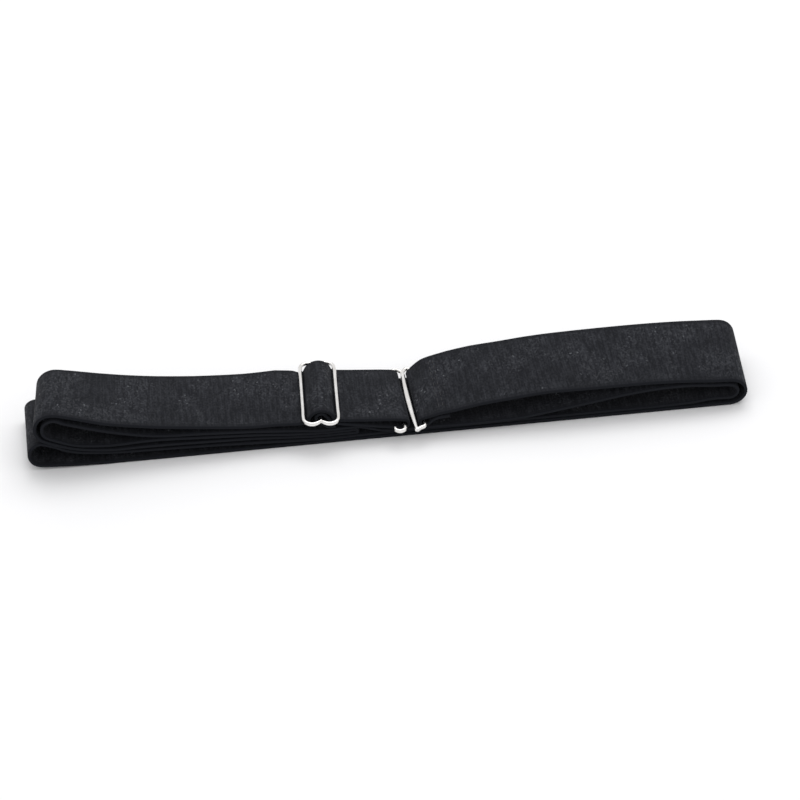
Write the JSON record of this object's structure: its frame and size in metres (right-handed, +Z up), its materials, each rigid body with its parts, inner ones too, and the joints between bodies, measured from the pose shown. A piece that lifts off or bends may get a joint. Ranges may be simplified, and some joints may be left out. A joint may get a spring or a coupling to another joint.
{
  "type": "shirt stay",
  "caption": "Elastic shirt stay worn as a belt round the waist to hold a shirt down, fastened by a hook clasp, set by a slider and folded flat",
  "frame": {"origin": "centre of the bounding box, on the ground plane the folded strap lies on", "axes": "+X along the folded bundle towards its right fold, +Z up out of the bundle, through the top strand with the slider and the clasp, and Y across the strap"},
  "size_m": [0.2204, 0.0334, 0.0203],
  "materials": {
    "elastic": "near black ribbed elastic webbing with small glittering threads",
    "nickel": "bright nickel plated wire"
  },
  "bodies": {
    "root": {"elastic_strap": "elastic", "slider": "nickel", "hook_clasp": "nickel"}
  },
  "joints": []
}
